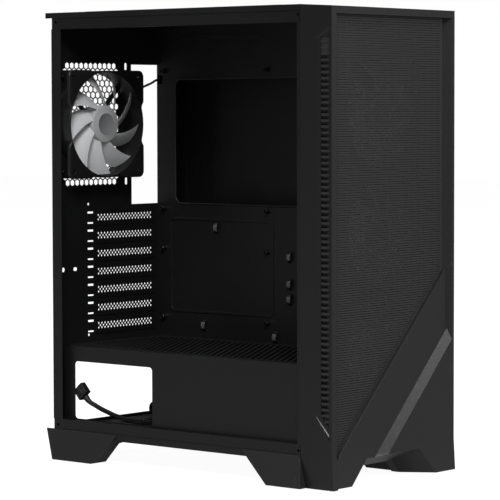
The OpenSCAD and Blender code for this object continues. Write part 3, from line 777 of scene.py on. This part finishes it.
def build_mesh_edge():
    """The slanted strip along the mesh's diagonal edge, from the panel's face down to the mesh."""
    bm = bmesh.new()
    up_left = Vector((-1, 0, 1)).normalized()
    section = ((-0.4, PANEL - 0.1), (0.1, PANEL - 0.1), (0.8, DEEP - 1.2), (0.8, DEEP),
               (-0.4, DEEP))
    loft(bm, [ring_of(bm, [Vector((x, 0, x + MESH_Z)) + up_left * out + Vector((0, y, 0))
                           for out, y in section]) for x in (RIM_L + 0.4, DEEP_R + 2.0)])
    round_edges(bm, 0.15, 2, 30)
    edge = piece("mesh_diagonal_edge", bm, BEZEL)
    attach(edge, body_of("front_mesh"))


SLOT_PITCH, SLOT_BAR = 2.5, 1.98    # the mesh's level bars
CELL = 11.6                         # its uprights' spacing


def build_mesh():
    """The slotted mesh: fine level bars, thin uprights behind them and a solid border."""
    bm = bmesh.new()
    x0, x1, top = RIM_L + 0.8, DEEP_R - 0.2, RIM_TOP - 0.2
    y0, y1 = DEEP - 0.9, DEEP - 0.1
    first = x0 + MESH_Z + 4
    for k in range(int((top - 2.5 - first) / SLOT_PITCH) + 1):
        z = first + k * SLOT_PITCH
        reach = min(x1 - 3, z - MESH_Z - 4.5)
        if reach - x0 > 8:
            add_box(bm, (x0 + 2.5, y0, z), (reach, y1, z + SLOT_BAR))
    x = x0 + 3.0 + CELL
    while x < x1 - 4:
        add_box(bm, (x - 0.45, y0 + 0.6, x + MESH_Z + 4), (x + 0.45, y1 + 0.3, top - 1.5))
        x += CELL
    border(bm, x0, x1, top, y0, y1)
    stand_for(piece("front_mesh_panel", bm, MESH), "front_mesh")


def border(bm, x0, x1, top, y0, y1):
    """The mesh panel's solid edge: two sides, the top and the diagonal."""
    outer = [(x0, x0 + MESH_Z), (x1, x1 + MESH_Z), (x1, top), (x0, top)]
    inner = [(x0 + 3, x0 + MESH_Z + 9), (x1 - 3, x1 + MESH_Z + 3), (x1 - 3, top - 2),
             (x0 + 3, top - 2)]
    rings = ((y0, outer), (y0, inner), (y1, inner), (y1, outer))
    bridge(bm, [ring_of(bm, [(x, y, z) for x, z in ring]) for y, ring in rings], around=True)


VENT_PITCH, VENT_BAR = 6.1, 2.5    # the side louvres
CLOSED_TOP = 3                     # the gaps above these louvres are closed


def build_side_vent(sign, node):
    """A ladder of louvres in the side window, flush with the sloping recess."""
    bm = bmesh.new()
    front, back, low, high = WINDOW

    def skin(y):
        return SIDE - SIDE_DEPTH * (y - SIDE_BACK) / (SIDE_FRONT - SIDE_BACK)

    for k in range(int((high - low) / VENT_PITCH)):
        z = high - (k + 1) * VENT_PITCH
        back_y = min(back, front + (z - low) * (back - front) / WINDOW_SLANT)
        if back_y - front < 1.0:
            continue
        bar, top = z + VENT_BAR, z + VENT_PITCH
        lip = ((0.25, z), (0.25, bar), (1.4, bar), (1.4, z))
        if k < CLOSED_TOP:
            web = ((0.9, bar), (0.9, top), (1.5, top), (1.5, bar))
        else:
            web = ((1.3, top), (1.3, top - 0.7), (3.9, bar - 0.2), (3.9, bar + 0.6))
        for section in (lip, web):
            add_hull(bm, [(sign * (skin(y) - sink), y, h) for y in (front, back_y)
                          for sink, h in section])
    # the louvres take the lighter copy of the bezel plastic, painted light
    stand_for(piece(node + "_grille", bm, SLAT_PAINTED_LIGHT), node)


build_bezel()
build_mesh()
build_mesh_edge()
for sign, side in ((-1, "left"), (1, "right")):
    build_side_vent(sign, "side_vent_" + side)


# ---------------- fans: along Y, intake at y = 0

FAN_W, CORNER = 60.0, 6.8      # half the frame's width, and its corners' radius
DUCT, RING = 57.8, 59.6        # the duct's inner and outer radius
LUG = 52.5                     # the screw holes' distance from the middle, each way
LUG_SPREAD, LUG_FADE = 27, 5.0 # how far a lug reaches round the ring, in degrees
RIM_STEPS = 144
BLADES = 9
BLADE_ROOT, BLADE_TIP = 20.2, 56.0
SWEEP, CHORD, ROOT_CHORD = 32, 20.5, 17      # in degrees
PITCH_ROOT, PITCH_FALL = 42, 14              # in degrees
HUB_PROFILE = [(0, -1.9), (11.8, -1.9), (12.3, -1.6), (12.8, -1.9), (18.2, -1.7), (20.0, -2.4),
               (20.9, -4.2), (21.0, -19.3), (19.2, -19.3), (19.0, -3.6), (0, -3.6)]
SHAFT_PROFILE = [(0, -20.0), (1.5, -20.0), (1.5, -3.0), (0, -3.0)]
SEAT_PROFILE = [(0, -24.5), (19.5, -24.5), (20.5, -23.7), (20.5, -21.5), (0, -21.5)]
CORE_PROFILE = [(1.55, -21.4), (15.3, -21.4), (15.4, -19.0), (5.0, -18.6), (4.6, -7.0),
                (1.55, -7.0)]
FAN_HOLE_PROFILE = [(0, -27), (2.2, -27), (2.2, 2), (0, 2)]


def flange_radius(a):
    """Outer edge of a fan flange at an angle: a ring with a square lug at each corner."""
    c, s = abs(math.cos(a)), abs(math.sin(a))
    core = FAN_W - CORNER
    lug = FAN_W / max(c, s)
    if lug * min(c, s) > core:
        lug = core * (c + s) + math.sqrt(CORNER ** 2 - (core * (c - s)) ** 2)
    spread = abs((math.degrees(a) % 90) - 45)
    fade = max(0.0, min(1.0, (LUG_SPREAD - spread) / LUG_FADE))
    fade = fade * fade * (3 - 2 * fade)
    return RING + (lug - RING) * fade


def plate(bm, y0, y1, outer, chamfer=0.5):
    """A ring round the duct, whose outer edge is a function of the angle and is chamfered."""
    def ring(y, radius):
        return ring_of(bm, [(radius(a) * math.cos(a), y, radius(a) * math.sin(a))
                            for a in angles(RIM_STEPS)])

    rings = [ring(y, lambda a: outer(a) - inset) for y, inset in (
        (y0, chamfer), (y0 + chamfer, 0.0), (y1 - chamfer, 0.0), (y1, chamfer))]
    bridge(bm, rings + [ring(y, lambda a: DUCT) for y in (y1, y0)], around=True)


def frame_scratch():
    """The fan's frame: two lugged flanges, a duct, the motor's seat, arms and screw holes."""
    base = solid_of(lambda bm: plate(bm, 0, 4, flange_radius))
    carve(base, [lambda bm: plate(bm, 21, 25, flange_radius),
                 lambda bm: plate(bm, 3, 22, lambda a: RING, 0.2),
                 lambda bm: add_turned(bm, SEAT_PROFILE, ALONG_Y, 64)], "UNION")
    for a in (45, 135, 225, 315):
        carve(base, [lambda bm: add_arm(bm, Matrix.Rotation(math.radians(-a), 4, "Y"))], "UNION")
    for x in (-LUG, LUG):
        for z in (-LUG, LUG):
            place = facing((0, -1, 0), (x, 0, z))
            carve(base, [lambda bm: add_turned(bm, FAN_HOLE_PROFILE, place, 24)])
    return base


def add_arm(bm, turn):
    """One tapered arm from the motor's seat to the duct."""
    rings = []
    for r, half in ((18.0, 3.4), (30.0, 2.7), (45.0, 2.5), (58.3, 3.2)):
        section = ((-half, 21.6), (-half + 0.8, 24.4), (half - 0.8, 24.4), (half, 21.6))
        rings.append(ring_of(bm, [(r, y, z) for z, y in section], turn))
    loft(bm, rings)


def add_blade(bm, turn, spans=16, chords=8):
    """One swept, cambered blade, closed all round. s runs from its root to its tip, t across it."""
    rings = []
    for i in range(spans + 1):
        s = i / spans
        r = BLADE_ROOT + (BLADE_TIP - BLADE_ROOT) * s
        lead = SWEEP * s ** 0.72
        trail = lead - (CHORD + ROOT_CHORD * (1 - s))
        rise = math.radians(lead - trail) * r * math.tan(math.radians(PITCH_ROOT - PITCH_FALL * s))
        front, thick = 3.2 + 1.6 * s, 1.9 - 0.9 * s
        points = []
        for side in (-1, 1):
            for j in range(chords + 1):
                t = j / chords if side < 0 else 1 - j / chords
                a = math.radians(lead + (trail - lead) * t)
                camber = 6.0 * t * (1 - t) * (1 - 0.4 * s)
                half = thick / 2 * (0.35 + 0.65 * math.sin(math.pi * t ** 0.8))
                y = front + rise * t - camber + side * half
                points.append((r * math.cos(a), y, r * math.sin(a)))
        rings.append(ring_of(bm, points, turn))
    tube(bm, rings)


def rotor_mesh():
    """Blades, hub and a darker cap: one mesh that all four fans share."""
    bm = bmesh.new()
    for k in range(BLADES):
        add_blade(bm, Matrix.Rotation(math.radians(-360 / BLADES * k + 32), 4, "Y"))
    add_turned(bm, HUB_PROFILE, ALONG_Y, 72, 1)
    add_turned(bm, SHAFT_PROFILE, ALONG_Y, 20, 1)
    for f in bm.faces:
        c = f.calc_center_median()
        if f.material_index == 1 and c.y < 2.1 * MM and math.hypot(c.x, c.z) < 12.2 * MM:
            f.material_index = 2
    bmesh.ops.recalc_face_normals(bm, faces=bm.faces)
    return mesh_of(bm, "rotor", (BLADE, HUB, CAP), 40)


def motor_mesh():
    """Stator: a steel core with copper windings round a bearing tube."""
    bm = bmesh.new()
    add_turned(bm, CORE_PROFILE, ALONG_Y, 40, 1)
    for k in range(9):
        turn = Matrix.Rotation(math.radians(40 * k), 4, "Y")
        add_box(bm, (4.5, 9.5, -1.6), (14.8, 15.5, 1.6), turn)
    round_edges(bm, 0.5, 2, 40)
    for f in bm.faces:
        c = f.calc_center_median()
        f.material_index = 1 if c.y > 16.5 * MM or math.hypot(c.x, c.z) < 5.2 * MM else 0
    return mesh_of(bm, "stator", (COPPER, DARK), 40)


def build_fans():
    shared_frame = finished(frame_scratch(), "fan_frame_shape", DARK, 0.35, 1, 35)
    meshes = (("frame", shared_frame.data), ("rotor", rotor_mesh()), ("motor", motor_mesh()))
    for fan, tag in (("rear_fan", ""), *(("front_fan", f"_{k}") for k in (1, 2, 3))):
        low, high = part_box(fan + "_frame" + tag)
        for kind, mesh in meshes:
            made = placed(f"{fan}{tag}_{kind}_body", mesh)
            made.location = ((low.x + high.x) / 2, low.y, (low.z + high.z) / 2)
            stand_for(made, fan + "_" + kind + tag)
    bpy.data.objects.remove(shared_frame)


build_fans()


# ---------------- small hardware

def screw_mesh(name, radius, height):
    """A pan-head screw seen from outside: a low dome with a cross recess. It points along +Z."""
    profile = ((0, 0), (1, 0), (1, 0.35), (0.93, 0.68), (0.72, 0.92), (0.35, 1), (0, 1))
    base = solid_of(lambda bm: add_turned(bm, [(radius * r, height * h) for r, h in profile],
                                          Matrix(), 32))
    reach, wide = radius * 0.55, radius * 0.17
    for x, y in ((reach, wide), (wide, reach)):
        carve(base, [lambda bm: add_box(bm, (-x, -y, height * 0.3), (x, y, height + 1))])
    mesh = base.data
    mesh.name = name
    bpy.data.objects.remove(base)
    mesh.materials.append(BLACK_SCREW)
    shade(mesh, 35)
    return mesh


def scatter(name, node, mesh, spots, shank=None):
    """One piece that holds a copy of a screw at each spot: (place, axis) pairs. A shank is its
    radius and length."""
    bm = bmesh.new()
    for place, axis in spots:
        before = len(bm.verts)
        bm.from_mesh(mesh)
        bm.verts.ensure_lookup_table()
        matrix = facing(axis, place)
        bmesh.ops.transform(bm, matrix=matrix, verts=bm.verts[before:])
        if shank:
            r, length = shank
            profile = [(0, -length), (r * 0.7, -length), (r, -length + 0.8), (r, 0.2), (0, 0.2)]
            add_turned(bm, profile, matrix, 16)
    stand_for(piece(name, bm, list(mesh.materials)), node)


SLOT_SCREW_AT, SLOT_STEP = (-48.0, 199, 265.76), 20.32
REAR_FAN_AT, REAR_FAN_SCREW_Y = (-42.5, 370.5), 194    # the fan's middle in X and Z
FRONT_FAN_Z, FRONT_FAN_STEP, FRONT_FAN_SCREW_Y = 136.5, 123, -159


def build_screws():
    x, y, z = SLOT_SCREW_AT
    spots = [((x, y, z - SLOT_STEP * k), (1, 0, 0)) for k in range(7)]
    scatter("slot_cover_screws", "slot_screws", screw_mesh("slot_screw", 3.0, 2.4), spots,
            (1.35, 4.8))
    spots = []
    for x in (-LUG, LUG):
        for z in (-LUG, LUG):
            spots.append(((REAR_FAN_AT[0] + x, REAR_FAN_SCREW_Y, REAR_FAN_AT[1] + z), (0, 1, 0)))
            for i in range(3):
                height = FRONT_FAN_Z + FRONT_FAN_STEP * i + z
                spots.append(((x, FRONT_FAN_SCREW_Y, height), (0, 1, 0)))
    scatter("fan_mounting_screws", "fan_screws", screw_mesh("fan_screw", 3.8, 2.0), spots,
            (1.9, 10))
    spots = [((76, y, z), (1, 0, 0)) for y in (-54, 14) for z in (171, 259)]
    scatter("drive_plate_screws", "ssd_bracket_screws", screw_mesh("plate_screw", 3.0, 2.0), spots)


THUMB_TEETH, TOOTH = 36, 0.3
THUMB_SHANK = [(0, -7.3), (1.3, -7.3), (1.7, -6.6), (1.7, 0.2), (0, 0.2)]
THUMB_HEAD = [(0, 0), (4.6, 0), (5.1, 0.5), (5.5, 1.0, TOOTH), (5.5, 6.0, TOOTH), (5.1, 6.6),
              (4.4, 7.2), (3.0, 7.2), (2.6, 6.2), (0, 6.2)]


def build_thumbscrews():
    """Captive thumbscrews with a knurled head."""
    bm = bmesh.new()
    for z in (70, 440):
        place = facing((0, 1, 0), (97, 195.3, z))
        add_turned(bm, THUMB_SHANK, place, 20)
        add_turned(bm, THUMB_HEAD, place, THUMB_TEETH * 2)
    stand_for(piece("knurled_thumbscrews", bm, BLACK_SCREW), "thumbscrews")


STANDOFF_Y, STANDOFF_Z = (181.84, 26.9, -45.49), (430.65, 273.17, 227.45, 148.71)
NO_STANDOFF = (STANDOFF_Y[2], STANDOFF_Z[2])
STANDOFF = [(0, 0), (2.9, 0), (2.9, 6.0), (2.5, 6.5), (1.6, 6.5), (1.35, 6.1), (1.3, 1.2), (0, 1.0)]


def build_standoffs():
    """Hexagonal standoffs with a chamfered end and a threaded hole."""
    bm = bmesh.new()
    for y in STANDOFF_Y:
        for z in STANDOFF_Z:
            if (y, z) != NO_STANDOFF:
                add_turned(bm, STANDOFF, facing((-1, 0, 0), (68, y, z)), 6)
    stand_for(piece("hex_standoffs", bm, BLACK_SCREW, 20), "standoffs")


CONTROLS_Y, BOARD_TOP = -142, 479
USB_AT = (31, 47)             # the ports' left edges
AUDIO_AT = (66, 74.5)
AUDIO = [(0, 0), (3.2, 0), (3.2, 13.3), (2.9, 13.7), (2.2, 13.7), (1.8, 13.3), (1.75, 2.0),
         (0, 2.0)]
BUTTONS = (                   # node, x, radius, flange radius
    ("power_button", 20, 6.0, 7.4), ("reset_button", 82, 2.5, 3.6))
CHIPS = (                     # x, y, width, depth, height
    (26, -135, 3, 1.6, 1.2), (40, -134, 4, 4, 1.1), (56, -135, 6, 3, 1.3), (62, -148, 2, 1.2, 1.0),
    (60, -134, 1.6, 0.8, 0.7), (28, -149, 1.6, 0.8, 0.7), (44, -149, 1.6, 0.8, 0.7))


def build_ports():
    """The two USB ports, each a shell and a tongue with four contacts, and the audio sockets."""
    bm = bmesh.new()
    for x in USB_AT:
        shell = solid_of(lambda b: add_box(b, (x, -145.5, BOARD_TOP), (x + 13.2, -138.5, 492.5)))
        carve(shell, [lambda b: add_box(b, (x + 0.6, -144.9, 481), (x + 12.6, -139.1, 494))])
        bm.from_mesh(shell.data)
        bpy.data.objects.remove(shell)
    round_edges(bm, 0.25, 2, 30)
    ports = piece("usb_port_shells", bm, TIN)
    spans = []
    for x in USB_AT:
        spans.append(((x + 1.4, -143.9, 480.8), (x + 11.8, -141.9, 490.6)))
        spans += [((x + 2.4 + 2.4 * k, -141.95, 482), (x + 3.6 + 2.4 * k, -141.6, 490.2))
                  for k in range(4)]
    boxes("usb_port_tongues", spans, NYLON, 0.15).parent = ports
    stand_for(ports, "usb_ports")
    bm = bmesh.new()
    for x in AUDIO_AT:
        add_turned(bm, AUDIO, facing((0, 0, 1), (x, CONTROLS_Y, BOARD_TOP)), 40)
    stand_for(piece("audio_sockets", bm, DARK), "audio_jacks")


def build_buttons():
    """The two keys: a flange under the plate, and a cap with a raised rim and a dished top."""
    for node, x, r, skirt in BUTTONS:
        bm = bmesh.new()
        profile = [(0, 0), (skirt, 0), (skirt, 1.4), (r, 1.6), (r, 7.6), (r * 0.93, 8.15),
                   (r * 0.86, 8.25), (r * 0.8, 8.0), (r * 0.4, 7.85), (0, 7.8)]
        add_turned(bm, profile, facing((0, 0, 1), (x, CONTROLS_Y, 486)), 56)
        stand_for(piece(node + "_cap", bm, BEZEL), node)


def build_board():
    """The controls' circuit board with a few small parts."""
    board = rounded_copy("io_board", "control_board", BOARD, 0.2)
    spans = [((x - w / 2, y - d / 2, BOARD_TOP - 0.1), (x + w / 2, y + d / 2, BOARD_TOP + h))
             for x, y, w, d, h in CHIPS]
    boxes("control_board_chips", spans, DARK, 0.15).parent = board
    stand_for(board, "io_board")


def add_net(name, low, high, pitch, strand):
    """A flat woven net from corner to corner, at the lower corner's height: two layers of square
    strands that touch."""
    (x0, y0, z), (x1, y1) = low, high
    nx, ny = int((x1 - x0) / pitch), int((y1 - y0) / pitch)
    bm = bmesh.new()
    for i in range(nx + 1):
        x = x0 + (x1 - x0) * i / nx
        add_box(bm, (x - strand / 2, y0, z), (x + strand / 2, y1, z + strand))
    for j in range(ny + 1):
        y = y0 + (y1 - y0) * j / ny
        add_box(bm, (x0, y - strand / 2, z + strand * 0.6), (x1, y + strand / 2, z + strand * 1.6))
    return piece(name, bm, NET)


NET_PITCH = 2.0
TOP_BORDER = 7.0              # the top filter's border width
PSU_BORDER, PSU_NET_BACK, PSU_NET_Z = 4, 182, 30.1


def build_top_filter():
    """Magnetic dust filter: a soft border round a fine net."""
    low, high = (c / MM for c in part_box("top_dust_filter"))
    inset = Vector((TOP_BORDER, TOP_BORDER, -1))
    base = solid_of(lambda bm: add_box(bm, low, high))
    carve(base, [lambda bm: add_box(bm, low + inset, high - inset)])
    border_piece = finished(base, "top_filter_border", RUBBER, 0.5, 2)
    edge = TOP_BORDER - 0.5
    net = add_net("top_filter_net", (low.x + edge, low.y + edge, low.z + 0.3),
                  (high.x - edge, high.y - edge), NET_PITCH, 0.45)
    net.parent = border_piece
    stand_for(border_piece, "top_dust_filter")


def build_psu_filter():
    """Sliding filter: a ribbed frame with a pull tab, and a net in it."""
    slider = rounded_copy("psu_dust_filter", "psu_filter_frame", DARK, 0.3)
    low, high = (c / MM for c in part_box("psu_dust_filter"))
    net = add_net("psu_filter_net", (low.x + PSU_BORDER, low.y + PSU_BORDER, PSU_NET_Z),
                  (high.x - PSU_BORDER, PSU_NET_BACK), NET_PITCH, 0.4)
    net.parent = slider
    stand_for(slider, "psu_dust_filter")


REAR_HOLLOW = (40.0, 80.0, -1.0), (91.0, 148.0, 26.9)    # in the rear feet and their pads
FRONT_LAP = (                  # z, outer x, front y
    (32.0, 105.8, -160.3), (2.0, 115.0, -167.0), (1.0, 115.0, -167.2))
VENT_FIELD = (-93.5, -152, 122.9), (67.5, 191.5, 124.02)
LIP_DROP = 1.0                 # how far the power supply cover's vents are turned down


def rear_hollow(sign):
    return mirrored_box(sign, *REAR_HOLLOW)


def front_lap(sign):
    """The front foot's edge that laps over the bezel's side, furthest at the floor."""
    def build(bm):
        add_hull(bm, [(sign * x, y, z) for z, out, end in FRONT_LAP for x in (105.4, out)
                      for y in (-150.0, end)])
    return build


def build_pads():
    base = carve(scratch_copy("foot_pads"), [rear_hollow(-1), rear_hollow(1)])
    stand_for(finished(base, "rubber_foot_pads", RUBBER, 0.3, 2, 30), "foot_pads")


def build_feet(sign, side):
    """The flared feet: the rear one is a hollow moulding, the front one laps over the bezel."""
    for end, cut, operation in (("rear", rear_hollow, "DIFFERENCE"), ("front", front_lap, "UNION")):
        node = f"foot_{end}_{side}"
        base = carve(scratch_copy(node), [cut(sign)], operation)
        # the feet take the lighter copy of the bezel plastic, painted light
        stand_for(finished(base, f"{end}_foot_{side}", FOOT_PAINTED_LIGHT, 0.9, 3, 12), node)


def build_shroud():
    """The power supply cover, with the turned-down lips of its slanted vents."""
    lips = scratch_copy("psu_shroud")
    lips.data.transform(Matrix.Translation((0, 0, -LIP_DROP * MM)))
    carve(lips, [lambda bm: add_box(bm, *VENT_FIELD)], "INTERSECT")
    sheet = refined("psu_shroud", "shroud_sheet", STEEL, 0.25, 2, 40)
    finished(lips, "shroud_vent_lips", STEEL, 0.1, 1, 40).parent = sheet


HOOK_CREST_X = 64.4            # faces further out than this get the lighter, glossier coat of the painted glint


def build_tray():
    """The tray's own shape with softened edges; the cable hooks' crests get a lighter, glossier coat
    as a painted glint.
    """
    # the tray sheet takes the darker copy of the coat, painted shade
    tray = refined("motherboard_tray", "tray_sheet", [STEEL_PAINTED_SHADE, STEEL_PAINTED_GLINT], 0.22, 2, 40)
    # the crest faces take the painted glint coat
    for face in tray.data.polygons:
        if face.center.x / MM < HOOK_CREST_X:
            face.material_index = 1


COOLER_CUT = (-35.0, 279.0), (165.5, 421.5)    # y and z of its lower front and upper back corners
CUT_CORNER, LIP_RADIUS, LIP_X = 9.0, 1.15, 68.1


def build_rolled_lip():
    """The rolled edge round the tray's cooler cut-out."""
    (y0, z0), (y1, z1) = COOLER_CUT
    r = CUT_CORNER
    loop = []
    for cy, cz, start in ((y1 - r, z1 - r, 0), (y0 + r, z1 - r, 90), (y0 + r, z0 + r, 180),
                          (y1 - r, z0 + r, 270)):
        for k in range(9):
            a = math.radians(start + 90 * k / 8)
            loop.append(Vector((LIP_X, cy + r * math.cos(a), cz + r * math.sin(a))))
    bm = bmesh.new()
    rings = []
    inwards = Vector((1, 0, 0))
    for i, c in enumerate(loop):
        along = (loop[(i + 1) % len(loop)] - loop[i - 1]).normalized()
        outward = along.cross(inwards).normalized()
        rings.append(ring_of(bm, [c + (outward * math.cos(a) + inwards * math.sin(a)) * LIP_RADIUS
                                  for a in angles(10)]))
    bridge(bm, rings, around=True)
    # the lip takes the darker copy of the coat, painted shade
    lip = piece("cooler_cutout_lip", bm, STEEL_PAINTED_SHADE, 60)
    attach(lip, body_of("motherboard_tray"))


def build_hub():
    """Fan hub: a small box with four headers."""
    base = refined("fan_hub", "fan_hub_box", DARK, 0.8, 2)
    spans = [((77.8, y, 206), (79.6, y + 8, 214)) for y in (74, 86, 98, 110)]
    boxes("fan_hub_headers", spans, NYLON, 0.25).parent = base


build_screws()
build_thumbscrews()
build_standoffs()
build_ports()
build_buttons()
build_board()
build_top_filter()
build_psu_filter()
build_pads()
build_hub()
build_shroud()
for sign, side in ((-1, "left"), (1, "right")):
    build_feet(sign, side)
refined("right_side_panel", "right_panel_sheet", STEEL, 0.45, 2)
refined("io_panel", "controls_plate", BEZEL, 0.35, 2)
refined("button_switches", "dome_switches", DARK, 0.3, 1)
refined("bezel_clips", "snap_pins", NYLON, 0.5, 2)

for node, name in (("chassis_floor", "floor_pan"), ("chassis_top", "top_cover"),
                   ("front_frame", "front_sheet"), ("rear_panel", "rear_sheet")):
    refined(node, name, STEEL, 0.25, 2, 40)
for node in ("hdd_cage", "ssd_bracket"):
    dress(node, STEEL)
# the slot covers take the darker copy of the coat, painted shade
for k in range(1, 8):
    dress(f"slot_cover_{k}", STEEL_PAINTED_SHADE)
build_tray()
build_rolled_lip()

build_stage()
